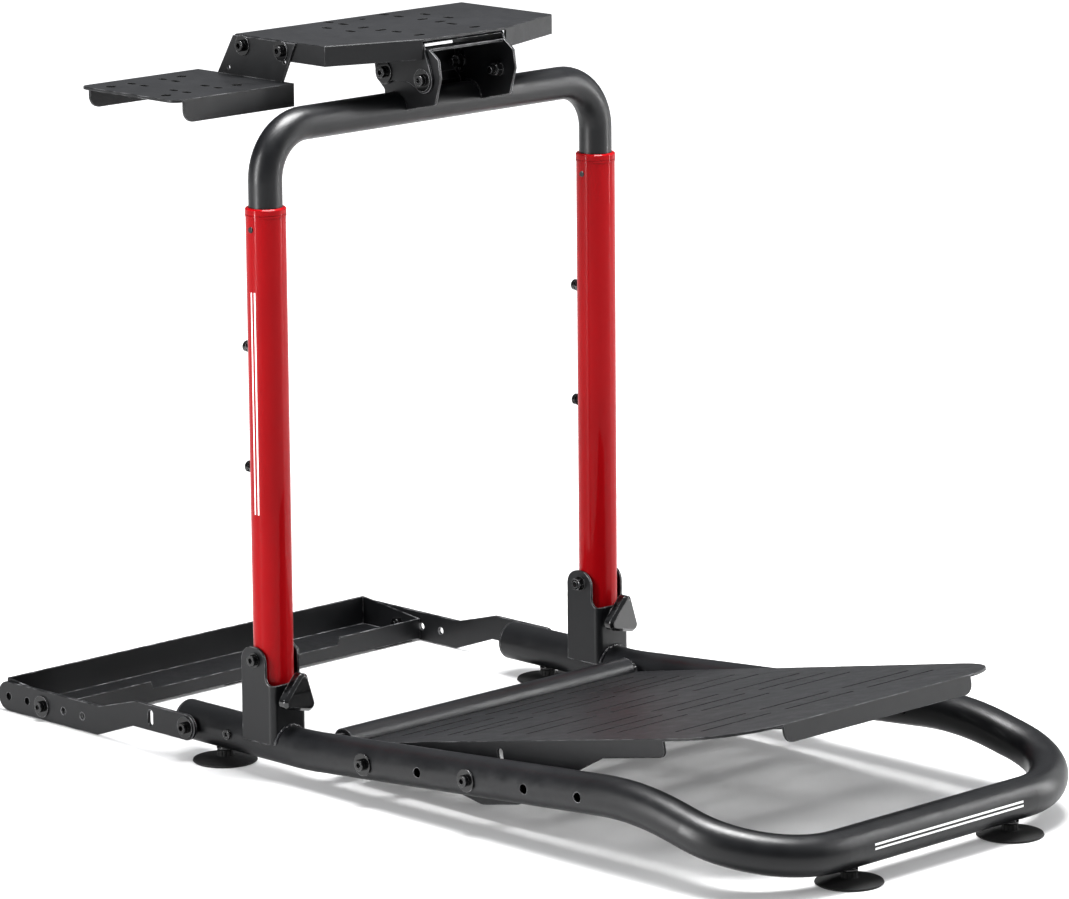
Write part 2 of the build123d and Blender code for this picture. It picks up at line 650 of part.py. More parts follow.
with BuildPart() as wheel_plate:
    with BuildSketch(Plane.XY.offset(PLATE_TOP)):
        with BuildLine():
            Polyline(*plate_outline, close=True)
        make_face()
    extrude(amount=-FLANGE_DROP)
    fillet(wheel_plate.faces().sort_by(Axis.Z)[-1].edges(), 1.5)
    with BuildSketch(Plane.XY.offset(PLATE_BOTTOM)):
        with BuildLine():
            Polyline(*plate_outline, close=True)
        make_face()
        offset(amount=-SHEET, kind=Kind.INTERSECTION)
        # no flange along the rear edge and the nose
        with Locations((PLATE_REAR, 0)):
            Rectangle(40, 2 * (PLATE_HALF - SHEET))
        with Locations((PLATE_NOSE, 0)):
            Rectangle(40, 2 * NOSE_HALF + 1)
    extrude(amount=-FLANGE_DROP, mode=Mode.SUBTRACT)
    with BuildSketch(Plane.XY.offset(PLATE_TOP)):
        with Locations(*[(x, y * side) for x, y in fore_slots for side in SIDES.values()]):
            SlotOverall(WHEEL_SLOT_L, WHEEL_SLOT_W)
        with Locations(*[(x, y * side) for x, y in cross_slots for side in SIDES.values()]):
            SlotOverall(WHEEL_SLOT_L, WHEEL_SLOT_W, rotation=90)
        with Locations((-117, 0)):
            Circle(WHEEL_SLOT_W / 2)
    extrude(amount=-SHEET, mode=Mode.SUBTRACT)
    with BuildSketch(Plane.XZ.offset(PLATE_HALF + 2)):
        with Locations(*[(x, SHIFT_BOLT_Z) for x in SHIFT_BOLT_X]):
            Circle(M8_SNUG)
    extrude(amount=-2 * PLATE_HALF - 4, mode=Mode.SUBTRACT)
save(wheel_plate, "wheel_plate")

# channel below the plate, whose ears reach down outside the handle's cheeks
WEB_REAR, WEB_FRONT = -35.0, 46.0
PIVOT_LOBE, LOCK_LOBE = 15.0, 14.0
EAR_ARCH = 768.0                      # lower edge of the ears, clear of the handle's bar
with BuildPart() as tilt_channel:
    with BuildSketch(Plane.XZ):
        with BuildLine():
            Polyline(
                (WEB_REAR, PLATE_BOTTOM),
                (WEB_FRONT, PLATE_BOTTOM),
                (50, 813),
                (TILT_X + PIVOT_LOBE, TILT_Z + 3),
                (TILT_X, TILT_Z - PIVOT_LOBE),
                (26, EAR_ARCH),
                (0, EAR_ARCH),
                (TILT_LOCK_X, TILT_LOCK_Z - LOCK_LOBE),
                (TILT_LOCK_X - LOCK_LOBE, TILT_LOCK_Z),
                close=True,
            )
        make_face()
        with Locations((TILT_X, TILT_Z)):
            Circle(PIVOT_LOBE)
        with Locations((TILT_LOCK_X, TILT_LOCK_Z)):
            Circle(LOCK_LOBE)
    extrude(amount=EAR_OUT, both=True)
    with BuildSketch(Plane.XZ):
        with Locations((0, PLATE_BOTTOM - SHEET - 50)):
            Rectangle(200, 100)
    extrude(amount=EAR_IN, both=True, mode=Mode.SUBTRACT)
    with BuildSketch(Plane.XZ):
        with Locations((TILT_X, TILT_Z), (TILT_LOCK_X, TILT_LOCK_Z)):
            Circle(M8_SNUG)
    extrude(amount=EAR_OUT + 5, both=True, mode=Mode.SUBTRACT)
    # the channel's roof keeps clear of the slots in the plate
    with BuildSketch(Plane.XY.offset(PLATE_BOTTOM)):
        for slot_x, half_y in fore_slots + cross_slots:
            if half_y < CHEEK_Y and slot_x > WEB_REAR - 10:
                with Locations((slot_x, -half_y), (slot_x, half_y)):
                    Circle(WHEEL_SLOT_L / 2 + 2)
    extrude(amount=-SHEET, mode=Mode.SUBTRACT)
save(tilt_channel, "tilt_channel")

tilt_spots = ((TILT_X, TILT_Z), (TILT_LOCK_X, TILT_LOCK_Z))
TILT_BOLT = 24.0
with BuildPart() as tilt_bolts:
    for side in SIDES.values():
        for bolt_x, bolt_z in tilt_spots:
            socket_screw(facing(bolt_x, side * (EAR_OUT + WASHER_H), bolt_z, side), TILT_BOLT)
save(tilt_bolts, "tilt_bolts")

with BuildPart() as shifter_bolts:
    for bolt_x in SHIFT_BOLT_X:
        socket_screw(facing(bolt_x, -PLATE_HALF - SHEET - WASHER_H, SHIFT_BOLT_Z, -1), 20)
save(shifter_bolts, "shifter_bolts")

with BuildPart() as wheel_mount_washers:
    for side in SIDES.values():
        for bolt_x, bolt_z in tilt_spots:
            washer(facing(bolt_x, side * EAR_OUT, bolt_z, side))
            washer(facing(bolt_x, side * (CHEEK_Y - GAP), bolt_z, -side), radius=8)
    for bolt_x in SHIFT_BOLT_X:
        washer(facing(bolt_x, -PLATE_HALF - SHEET, SHIFT_BOLT_Z, -1), radius=11.5)
save(wheel_mount_washers, "wheel_mount_washers")

with BuildPart() as wheel_mount_nuts:
    for side in SIDES.values():
        for bolt_x, bolt_z in tilt_spots:
            lock_nut(facing(bolt_x, side * (CHEEK_Y - GAP - WASHER_H), bolt_z, -side))
    for bolt_x in SHIFT_BOLT_X:
        lock_nut(facing(bolt_x, -PLATE_HALF + SHEET, SHIFT_BOLT_Z, 1))
save(wheel_mount_nuts, "wheel_mount_nuts")

# ---------------------------------------------------------------- shifter plate
shift_cols = (-172.0, -150.0, -100.0, -78.0)
shift_rows = (-301.0, -255.0)
shift_extra = ((-172.0, -331.0), (-172.0, -227.0), (-78.0, -331.0), (-78.0, -227.0))
SHIFT_SLOT_L, SHIFT_SLOT_W = 13.0, 7.0
shift_mid = (SHIFT_REAR + SHIFT_FRONT) / 2
leg_face = -PLATE_HALF - SHEET

with BuildPart() as shifter_plate:
    with BuildSketch(Plane.XY.offset(SHIFT_TOP - SHEET)) as top:
        with Locations((shift_mid, (SHIFT_OUT + leg_face + SHEET) / 2)):
            Rectangle(SHIFT_FRONT - SHIFT_REAR, leg_face + SHEET - SHIFT_OUT)
        fillet(top.vertices().group_by(Axis.Y)[0], 12)
    extrude(amount=SHEET)
    # side flanges with a round lower corner at the free end
    for edge_x in (SHIFT_REAR, SHIFT_FRONT - SHEET):
        with BuildSketch(Plane(origin=(edge_x, 0, 0), x_dir=(0, 1, 0), z_dir=(1, 0, 0))) as drop:
            with BuildLine():
                Polyline(
                    (SHIFT_OUT + 14, SHIFT_TOP - 1),
                    (leg_face + SHEET, SHIFT_TOP - 1),
                    (leg_face + SHEET, SHIFT_TOP - SHIFT_FLANGE),
                    (SHIFT_OUT + 14, SHIFT_TOP - SHIFT_FLANGE),
                    close=True,
                )
            make_face()
            low_corner = drop.vertices().group_by(Axis.Y)[0].sort_by(Axis.X)[0]
            fillet(low_corner, 13)
        extrude(amount=SHEET)
    # upright leg bolted to the wheel plate's side flange
    with BuildSketch(Plane.XZ.offset(PLATE_HALF)):
        with BuildLine():
            Polyline(
                (-167, SHIFT_TOP - SHEET),
                (-58, SHIFT_TOP - SHEET),
                (-34, PLATE_TOP - 1.5),
                (PLATE_REAR, PLATE_TOP - 1.5),
                close=True,
            )
        make_face()
    extrude(amount=SHEET)
    with BuildSketch(Plane.XZ.offset(PLATE_HALF - 1)):
        with Locations(*[(x, SHIFT_BOLT_Z) for x in SHIFT_BOLT_X]):
            Circle(M8_SNUG)
        with Locations((-52, 796), (-146, 781)):
            Circle(2.5)
    extrude(amount=SHEET + 2, mode=Mode.SUBTRACT)
    with BuildSketch(Plane.XY.offset(SHIFT_TOP)):
        with Locations(*[(x, y) for x in shift_cols for y in shift_rows], *shift_extra):
            SlotOverall(SHIFT_SLOT_L, SHIFT_SLOT_W)
        with Locations(*shift_extra):
            SlotOverall(SHIFT_SLOT_L, SHIFT_SLOT_W, rotation=90)
    extrude(amount=-SHEET, mode=Mode.SUBTRACT)
save(shifter_plate, "shifter_plate")

# ================================================================= PEDAL PLATE
slope = math.radians(DECK_SLOPE)
forward = (math.cos(slope), 0, math.sin(slope))
upward = (-math.sin(slope), 0, math.cos(slope))
deck_origin = (DECK_PIVOT_X, 0, DECK_PIVOT_Z)
deck_plane = Plane(origin=deck_origin, x_dir=forward, z_dir=upward)
slot_rows = (-37, 1, 39.5, 65, 128.5, 167, 232, 272, 310.5, 400, 438)
SLOT_L, SLOT_W, SLOT_PITCH = 108.0, 4.5, 130.0
cheek_points = [
    (-60, DECK_TOP - 1), (-60, 2), (-14, -12), (14, -14), (125, -56), (185, -56),
    (288, -18), (324, -6), (421, -6), (421, DECK_TOP - 1),
]
cheek_rounds = [0, 12, 10, 10, 28, 28, 20, 20, 8, 0]

with BuildPart() as pedal_plate:
    with BuildSketch(deck_plane.offset(DECK_TOP - SHEET)) as deck:
        with BuildLine():
            FilletPolyline(
                (DECK_REAR, -DECK_HALF),
                (DECK_FRONT, -DECK_HALF),
                (DECK_FRONT, DECK_HALF),
                (DECK_REAR, DECK_HALF),
                radius=[DECK_HEEL, DECK_CORNER, DECK_CORNER, DECK_HEEL],
                close=True,
            )
        make_face()
    extrude(amount=SHEET)
    # side cheeks carry the pivot and the tilt lock
    for side in SIDES.values():
        cheek_y = DECK_IN if side > 0 else -DECK_HALF
        cheek_plane = Plane(origin=(DECK_PIVOT_X, cheek_y, DECK_PIVOT_Z), x_dir=forward, z_dir=(0, 1, 0))
        with BuildSketch(cheek_plane) as cheek:
            with BuildLine():
                FilletPolyline(*[(s, -n) for s, n in cheek_points], radius=cheek_rounds, close=True)
            make_face()
        extrude(amount=SHEET)
    # front flange
    with BuildSketch(Plane(origin=deck_origin, x_dir=(0, 1, 0), z_dir=forward).offset(DECK_FRONT - SHEET)) as nose:
        with Locations((0, DECK_TOP - 1 - DECK_FLANGE / 2)):
            Rectangle(2 * (DECK_HALF - DECK_CORNER) + 14, DECK_FLANGE)
        fillet(nose.vertices().group_by(Axis.Y)[0], 12)
    extrude(amount=SHEET)
    # drainage and grip slots
    with BuildSketch(deck_plane.offset(DECK_TOP)):
        with Locations(*[(s, col * SLOT_PITCH) for s in slot_rows for col in (-1, 0, 1)]):
            SlotOverall(SLOT_L, SLOT_W, rotation=90)
    extrude(amount=-SHEET, mode=Mode.SUBTRACT)
    # pivot holes take a bush; arc slots let the plate swing past the tilt screws
    side_plane = Plane(origin=deck_origin, x_dir=forward, z_dir=(0, 1, 0))
    with BuildSketch(side_plane):
        Circle(6)
        with BuildLine() as sweep_arc:
            CenterArc((0, 0), TILT_HOLE_R, -TILT_HOLE_DEG - TILT_SLOT_DEG, 2 * TILT_SLOT_DEG)
        SlotArc(sweep_arc.edge(), 2 * M8_CLEAR)
    extrude(amount=DECK_HALF + 5, both=True, mode=Mode.SUBTRACT)
save(pedal_plate, "pedal_plate")

with BuildPart() as pedal_bushes:
    for side in SIDES.values():
        with BuildSketch(facing(DECK_PIVOT_X, side * DECK_IN, DECK_PIVOT_Z, side)):
            Circle(5.98)
            Circle(M8_PIVOT, mode=Mode.SUBTRACT)
        extrude(amount=SHEET)
save(pedal_bushes, "pedal_bushes")

# ================================================================= CASTER TRAY
ARM_R, ARM_TAIL_R, ARM_LOW = 15.0, 17.5, 18.5
ARM_REAR_X, JOG_REAR, JOG_FRONT = -436.0, -272.0, -208.0
SPARE_HOLES = (-434.5, -401.0, -335.0, -301.0)
HAND_SLOT_X = -179.0
LIP_BACK, LIP_FRONT, LIP_LOW = 39.5, 28.0, 19.0
LOW_HALF = 147.0

for name, side in SIDES.items():
    with BuildPart() as tray_arm:
        with BuildSketch(Plane.XZ.offset(-side * (ARM_Y + ARM_T / 2))):
            with BuildLine():
                Polyline(
                    (ARM_REAR_X, ARM_LOW - ARM_TAIL_R),
                    (JOG_REAR - 2, ARM_LOW - ARM_TAIL_R),
                    (JOG_FRONT - 2, RAIL_Z - ARM_R),
                    (ARM_PIVOT_X, RAIL_Z - ARM_R),
                    (ARM_PIVOT_X, RAIL_Z + ARM_R),
                    (JOG_FRONT + 2, RAIL_Z + ARM_R),
                    (JOG_REAR + 2, ARM_LOW + ARM_TAIL_R),
                    (ARM_REAR_X, ARM_LOW + ARM_TAIL_R),
                    close=True,
                )
            make_face()
            with Locations((ARM_REAR_X, ARM_LOW)):
                Circle(ARM_TAIL_R)
            with Locations((ARM_PIVOT_X, RAIL_Z)):
                Circle(ARM_R)
            with Locations(*[(x, ARM_LOW) for x in SPARE_HOLES]):
                Circle(M8_CLEAR, mode=Mode.SUBTRACT)
            with Locations((TRAY_BOLT_X, TRAY_BOLT_Z)):
                Circle(M8_SNUG, mode=Mode.SUBTRACT)
            with Locations((ARM_PIVOT_X, RAIL_Z)):
                Circle(M8_PIVOT, mode=Mode.SUBTRACT)
            with Locations((HAND_SLOT_X, RAIL_Z)):
                SlotOverall(19, 9, rotation=90, mode=Mode.SUBTRACT)
        extrude(amount=ARM_T / 2, both=True)
    save(tray_arm, f"{name}_tray_arm")

with BuildPart() as caster_tray:
    with BuildSketch(Plane.XZ) as section:
        with BuildLine():
            Polyline(
                (TRAY_REAR, LIP_BACK),
                (TRAY_REAR, PAD_H),
                (TRAY_FRONT, PAD_H),
                (TRAY_FRONT, LIP_FRONT),
                (TRAY_FRONT - TRAY_SHEET, LIP_FRONT),
                (TRAY_FRONT - TRAY_SHEET, PAD_H + TRAY_SHEET),
                (TRAY_REAR + TRAY_SHEET, PAD_H + TRAY_SHEET),
                (TRAY_REAR + TRAY_SHEET, LIP_BACK),
                close=True,
            )
        make_face()
    extrude(amount=ARM_Y, both=True)
    # the front lip is lower over its middle
    with BuildSketch(Plane(origin=(TRAY_FRONT - 7, 0, 0), x_dir=(0, 1, 0), z_dir=(1, 0, 0))):
        with BuildLine():
            Polyline(
                (-LOW_HALF - 4, LIP_FRONT),
                (-LOW_HALF, LIP_LOW),
                (LOW_HALF, LIP_LOW),
                (LOW_HALF + 4, LIP_FRONT),
                (LOW_HALF + 4, LIP_FRONT + 5),
                (-LOW_HALF - 4, LIP_FRONT + 5),
                close=True,
            )
        make_face()
    extrude(amount=12, mode=Mode.SUBTRACT)
    for side in SIDES.values():
        with BuildSketch(Plane.XZ.offset(-side * (ARM_Y - TRAY_SHEET / 2))):
            with BuildLine():
                Polyline(
                    (TRAY_REAR, PAD_H),
                    (TRAY_FRONT, PAD_H),
                    (TRAY_FRONT, LIP_FRONT),
                    (TRAY_REAR, LIP_BACK),
                    close=True,
                )
            make_face()
            with Locations((TRAY_BOLT_X, TRAY_BOLT_Z)):
                Circle(M8_SNUG, mode=Mode.SUBTRACT)
        extrude(amount=TRAY_SHEET / 2, both=True)
save(caster_tray, "caster_tray")

with BuildPart() as tray_bolts:
    for side in SIDES.values():
        socket_screw(facing(TRAY_BOLT_X, side * (ARM_OUT + WASHER_H), TRAY_BOLT_Z, side), 18)
save(tray_bolts, "tray_bolts")

with BuildPart() as tray_washers:
    for side in SIDES.values():
        washer(facing(TRAY_BOLT_X, side * ARM_OUT, TRAY_BOLT_Z, side))
save(tray_washers, "tray_washers")

with BuildPart() as tray_nuts:
    for side in SIDES.values():
        lock_nut(facing(TRAY_BOLT_X, side * (ARM_Y - TRAY_SHEET), TRAY_BOLT_Z, -side))
save(tray_nuts, "tray_nuts")

with BuildPart() as tray_pads:
    with BuildSketch(Plane.XY):
        for pad_x in (TRAY_REAR + 12, TRAY_FRONT - 12):
            for pad_y in (-245, 0, 245):
                with Locations((pad_x, pad_y)):
                    Rectangle(14, 60)
    extrude(amount=PAD_H)
save(tray_pads, "tray_pads")
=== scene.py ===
"""Studio view of a folding stand for a racing wheel, pedals and a gear shifter.

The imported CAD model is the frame. This script gives every CAD piece a procedural material,
adds weld beads and plain printed stripes, and sets the floor, the lights and the camera.
"""
import bpy
import json
import math
from mathutils import Matrix, Vector


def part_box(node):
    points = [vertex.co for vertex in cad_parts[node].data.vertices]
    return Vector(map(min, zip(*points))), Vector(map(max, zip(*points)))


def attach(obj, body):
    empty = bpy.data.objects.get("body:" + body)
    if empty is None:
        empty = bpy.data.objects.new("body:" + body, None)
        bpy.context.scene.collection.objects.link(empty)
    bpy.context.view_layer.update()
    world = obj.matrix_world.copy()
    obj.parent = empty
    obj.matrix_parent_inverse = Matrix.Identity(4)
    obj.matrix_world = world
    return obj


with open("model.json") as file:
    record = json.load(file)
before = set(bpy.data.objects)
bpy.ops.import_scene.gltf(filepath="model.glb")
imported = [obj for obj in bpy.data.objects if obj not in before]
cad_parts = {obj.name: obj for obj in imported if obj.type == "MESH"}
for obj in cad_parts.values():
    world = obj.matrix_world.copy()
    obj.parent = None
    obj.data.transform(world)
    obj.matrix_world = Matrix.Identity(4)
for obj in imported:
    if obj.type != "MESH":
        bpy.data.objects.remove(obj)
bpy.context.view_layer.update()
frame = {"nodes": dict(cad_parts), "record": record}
scene = bpy.context.scene
nodes = frame["nodes"]

# ---------------------------------------------------------------- camera
CAMERA_AT = Vector((4.85098, -4.56048, 1.75963))
CAMERA_AZIMUTH, CAMERA_PITCH, CAMERA_ROLL = 45.817, 12.094, -0.4917
CAMERA_LENS, SENSOR = 200.2, 36.0


def camera_axes():
    """Right, up and back directions of the camera."""
    azimuth, pitch, roll = (math.radians(v) for v in (CAMERA_AZIMUTH, CAMERA_PITCH, CAMERA_ROLL))
    flat = math.cos(pitch)
    back = Vector((math.sin(azimuth) * flat, -math.cos(azimuth) * flat, math.sin(pitch)))
    level = Vector((math.cos(azimuth), math.sin(azimuth), 0))
    over = back.cross(level)
    right = math.cos(roll) * level + math.sin(roll) * over
    up = -math.sin(roll) * level + math.cos(roll) * over
    return right, up, back


right, up, back = camera_axes()
camera_data = bpy.data.cameras.new("studio_camera")
camera_data.lens = CAMERA_LENS
camera_data.sensor_width = SENSOR
camera_data.clip_end = 60
camera = bpy.data.objects.new("studio_camera", camera_data)
scene.collection.objects.link(camera)
camera.matrix_world = Matrix.Translation(CAMERA_AT) @ Matrix((right, up, back)).transposed().to_4x4()
scene.camera = camera


# ---------------------------------------------------------------- materials
class Graph:
    """A material's node tree, with short calls for the nodes used here."""

    def __init__(self, name):
        self.material = bpy.data.materials.new(name)
        self.material.use_nodes = True
        self.tree = self.material.node_tree
        self.shader = self.tree.nodes["Principled BSDF"]
        self.place = self.add("ShaderNodeTexCoord").outputs["Object"]

    def add(self, kind, inputs=None, **settings):
        node = self.tree.nodes.new(kind)
        for key, value in settings.items():
            setattr(node, key, value)
        for key, value in (inputs or {}).items():
            self.feed(node.inputs[key], value)
        return node

    def feed(self, socket, value):
        if isinstance(value, bpy.types.NodeSocket):
            self.tree.links.new(value, socket)
        else:
            socket.default_value = value

    def noise(self, scale, detail=3.0, rough=0.5):
        made = self.add("ShaderNodeTexNoise", {"Vector": self.place, "Scale": scale, "Detail": detail,
                                               "Roughness": rough})
        return made.outputs["Fac"]

    def span(self, value, low, high, start=0.0, end=1.0):
        made = self.add("ShaderNodeMapRange", {"Value": value, "From Min": start, "From Max": end,
                                               "To Min": low, "To Max": high})
        return made.outputs["Result"]

    def math(self, operation, a, b=0.0):
        made = self.add("ShaderNodeMath", {0: a, 1: b}, operation=operation, use_clamp=False)
        return made.outputs["Value"]

    def mix(self, factor, a, b):
        made = self.add("ShaderNodeMix", {"Factor": factor}, data_type="RGBA")
        self.feed(made.inputs[6], a)
        self.feed(made.inputs[7], b)
        return made.outputs[2]

    def edges(self, radius):
        """Rounded normal, and a mask that is bright along sharp outer and inner edges."""
        soft = self.add("ShaderNodeBevel", {"Radius": radius}, samples=6)
        plain = self.add("ShaderNodeNewGeometry").outputs["Normal"]
        dot = self.add("ShaderNodeVectorMath", operation="DOT_PRODUCT")
        self.feed(dot.inputs[0], soft.outputs["Normal"])
        self.feed(dot.inputs[1], plain)
        return soft.outputs["Normal"], self.span(dot.outputs["Value"], 1.0, 0.0, 0.90, 0.995)

    def painted_slot_shade_masks(self, middle_x, middle_y, half_x, half_y):
        """Masks for painted shade in slots: inside an upright box, and on faces that stand upright on the
        piece itself.
        """
        at = self.add("ShaderNodeSeparateXYZ", {"Vector": self.place})
        off_x = self.math("ABSOLUTE", self.math("SUBTRACT", at.outputs["X"], middle_x))
        off_y = self.math("ABSOLUTE", self.math("SUBTRACT", at.outputs["Y"], middle_y))
        area = self.math("MULTIPLY", self.span(off_x, 1.0, 0.0, half_x, half_x + 0.0005),
                         self.span(off_y, 1.0, 0.0, half_y, half_y + 0.0005))
        world = self.add("ShaderNodeNewGeometry").outputs["True Normal"]
        own = self.add("ShaderNodeVectorTransform", {"Vector": world}, vector_type="NORMAL",
                       convert_from="WORLD", convert_to="OBJECT").outputs["Vector"]
        lean = self.math("ABSOLUTE", self.add("ShaderNodeSeparateXYZ", {"Vector": own}).outputs["Z"])
        return area, self.span(lean, 1.0, 0.0, 0.55, 0.75)

    def bump(self, height, distance, normal=None):
        made = self.add("ShaderNodeBump", {"Height": height, "Distance": distance})
        if normal is not None:
            self.feed(made.inputs["Normal"], normal)
        return made.outputs["Normal"]


def rgba(colour, gain=1.0):
    return tuple(c * gain for c in colour) + (1.0,)


def coated(name, colour, rough, grain=900.0, grain_depth=0.00004, mottle=0.25, wear_and_highlight=0.5,
           wear_and_highlight_colour=(0.2, 0.2, 0.21), coat=0.0, coat_rough=0.1, coat_ior=1.5, specular=0.5,
           edge=0.0013, specks=0.35, slots=None):
    """A painted or moulded surface: grain, soft mottling, dust and smoother edges whose paler tint is
    partly wear and partly painted highlight.

    slots is the middle and half size, along x and y, of the area whose cut-outs get painted shade: their
    upright walls are tinted nearly black.
    """
    g = Graph(name)
    broad = g.noise(7.0, 4.0)
    cloud = g.noise(55.0, 5.0, 0.6)
    fine = g.noise(grain, 2.0)
    speck = g.noise(grain * 0.37, 3.0, 0.7)
    rounded, rim = g.edges(edge)
    # paler edges: partly wear, partly a painted highlight where light would catch the edges
    wear_and_painted_highlight_mask = g.math("MULTIPLY", rim, g.span(cloud, 0.0, 1.0, 0.42, 0.62))
    if slots:
        quiet = g.math("MULTIPLY", g.painted_slot_shade_masks(*slots)[0], -0.85)
        wear_and_painted_highlight_mask = g.math("MULTIPLY", wear_and_painted_highlight_mask, g.math("ADD", quiet, 1.0))
    mottling = g.span(broad, 0.0, 1.0, 0.35, 0.65)
    tint = g.mix(mottling, rgba(colour, 1.0 - mottle), rgba(colour, 1.0 + mottle))
    tint = g.mix(g.span(speck, 0.0, specks, 0.55, 0.75), tint, rgba(colour, 1.9))
    # edge tint: wear and painted highlight along the edges
    tint = g.mix(g.math("MULTIPLY", wear_and_painted_highlight_mask, wear_and_highlight), tint, wear_and_highlight_colour + (1.0,))
    # painted shade: upright walls inside the slot area are tinted nearly black and made rougher, standing
    # in for shade inside the cut-outs
    painted_slot_shade = None
    if slots:
        area, wall = g.painted_slot_shade_masks(*slots)
        painted_slot_shade = g.math("MULTIPLY", area, wall)
        tint = g.mix(g.math("MULTIPLY", painted_slot_shade, 0.92), tint, rgba(colour, 0.08))
    g.feed(g.shader.inputs["Base Color"], tint)
    uneven = g.math("ADD", g.span(cloud, -0.05, 0.05, 0.3, 0.7), g.span(broad, -0.03, 0.03, 0.3, 0.7))
    uneven = g.math("ADD", uneven, g.span(speck, 0.0, 0.06, 0.5, 0.8))
    uneven = g.math("ADD", uneven, g.math("MULTIPLY", wear_and_painted_highlight_mask, -0.08))
    if painted_slot_shade is not None:
        uneven = g.math("ADD", uneven, g.math("MULTIPLY", painted_slot_shade, 0.6))
    g.feed(g.shader.inputs["Roughness"], g.math("ADD", uneven, rough))
    relief = g.math("ADD", g.math("MULTIPLY", fine, 0.7), g.math("MULTIPLY", speck, 0.5))
    g.feed(g.shader.inputs["Normal"], g.bump(relief, grain_depth, rounded))
    g.shader.inputs["Specular IOR Level"].default_value = specular
    g.shader.inputs["Coat Weight"].default_value = coat
    g.shader.inputs["Coat Roughness"].default_value = coat_rough
    g.shader.inputs["Coat IOR"].default_value = coat_ior
    return g.material


BLACK_COLOUR = (0.0042, 0.0045, 0.0054)
BLACK = {"grain": 1100.0, "wear_and_highlight_colour": (0.36, 0.36, 0.37), "edge": 0.0016, "specular": 0.45}
black_coat = coated("black_powder_coat", BLACK_COLOUR, 0.37, wear_and_highlight=0.8, **BLACK)
red_coat = coated("red_gloss_coat", (0.27, 0.0006, 0.0035), 0.5, grain=500.0, grain_depth=0.00001,
                  mottle=0.04, wear_and_highlight=0.12, wear_and_highlight_colour=(0.6, 0.04, 0.05), coat=0.45, coat_rough=0.05,
                  coat_ior=1.33, specular=0.05, specks=0.0)
tube_plastic = coated("black_moulded_plastic", (0.012, 0.012, 0.013), 0.48, grain=1600.0, wear_and_highlight=0.2)
gloss_plastic = coated("gloss_black_plastic", (0.002, 0.002, 0.0022), 0.1, grain=380.0, grain_depth=0.00006,
                       wear_and_highlight=0.5, wear_and_highlight_colour=(0.35, 0.35, 0.35), edge=0.0022, coat=0.8, coat_rough=0.04)
rubber = coated("black_rubber", (0.012, 0.012, 0.012), 0.68, grain=1300.0, grain_depth=0.00007, wear_and_highlight=0.3,
                wear_and_highlight_colour=(0.06, 0.06, 0.06), specular=0.35)
oxide = coated("black_oxide_steel", (0.002, 0.002, 0.0022), 0.16, grain=1500.0, grain_depth=0.00001,
               wear_and_highlight=0.9, wear_and_highlight_colour=(0.4, 0.4, 0.41), edge=0.0008, coat=0.5, coat_rough=0.05,
               specular=0.35)
weld_look = coated("weld_bead", (0.011, 0.011, 0.013), 0.28, grain=900.0, grain_depth=0.00008, wear_and_highlight=0.4)
print_white = coated("printed_white", (0.78, 0.78, 0.77), 0.42, grain_depth=0.00001, mottle=0.04, wear_and_highlight=0.0,
                     edge=0.0001, specks=0.0)

LOOK = {
    "black_powder_coat": black_coat,
    "red_powder_coat": red_coat,
    "black_plastic": tube_plastic,
    "gloss_black_plastic": gloss_plastic,
    "black_rubber": rubber,
    "black_oxide_steel": oxide,
}
for entry in frame["record"]["subparts"]:
    node = nodes[entry["node"]]
    node.data.materials.clear()
    node.data.materials.append(LOOK[entry["material_slot"]])
# plates whose slot walls get painted shade: margins at low x, high x, low y and high y keep folded edges
# out
PLATES_WITH_PAINTED_SLOT_SHADE = {
    "wheel_plate": (0.002, 0.024, 0.088, 0.088),
    "shifter_plate": (0.01, 0.03, 0.012, 0.03),
    "pedal_plate": (0.01, 0.06, 0.038, 0.038),
}
for plate, (rear, fore, right_side, left_side) in PLATES_WITH_PAINTED_SLOT_SHADE.items():
    low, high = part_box(plate)
    x0, x1, y0, y1 = low[0] + rear, high[0] - fore, low[1] + right_side, high[1] - left_side
    area = ((x0 + x1) / 2, (y0 + y1) / 2, (x1 - x0) / 2, (y1 - y0) / 2)
    nodes[plate].data.materials.clear()
    plate_coat = coated(f"black_powder_coat_{plate}", BLACK_COLOUR, 0.46, wear_and_highlight=0.45, slots=area, **BLACK)
    nodes[plate].data.materials.append(plate_coat)


# ---------------------------------------------------------------- added pieces
def piece(name, mesh, body, material, smooth=True):
    """Makes a visible piece that moves with a body."""
    made = bpy.data.objects.new(name, mesh)
    scene.collection.objects.link(made)
    mesh.materials.append(material)
    if smooth:
        for face in mesh.polygons:
            face.use_smooth = True
    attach(made, body)
    return made


def shell(name, rows):
    """Mesh from rows of points; each row is a ring, and the two end rings are capped."""
    mesh = bpy.data.meshes.new(name)
    count = len(rows[0])
    points = [point for row in rows for point in row]
    faces = []
    for r in range(len(rows) - 1):
        for c in range(count):
            d = (c + 1) % count
            faces.append((r * count + c, r * count + d, (r + 1) * count + d, (r + 1) * count + c))
    last = (len(rows) - 1) * count
    faces.append(tuple(reversed(range(count))))
    faces.append(tuple(last + c for c in range(count)))
    mesh.from_pydata(points, [], faces)
    mesh.update()
    return mesh


WELD_STEP, WELD_SIDES = 0.0005, 12
WELD_RIPPLE, WELD_TAPER = 0.0022, 0.003
WELD_GAP = 0.0004


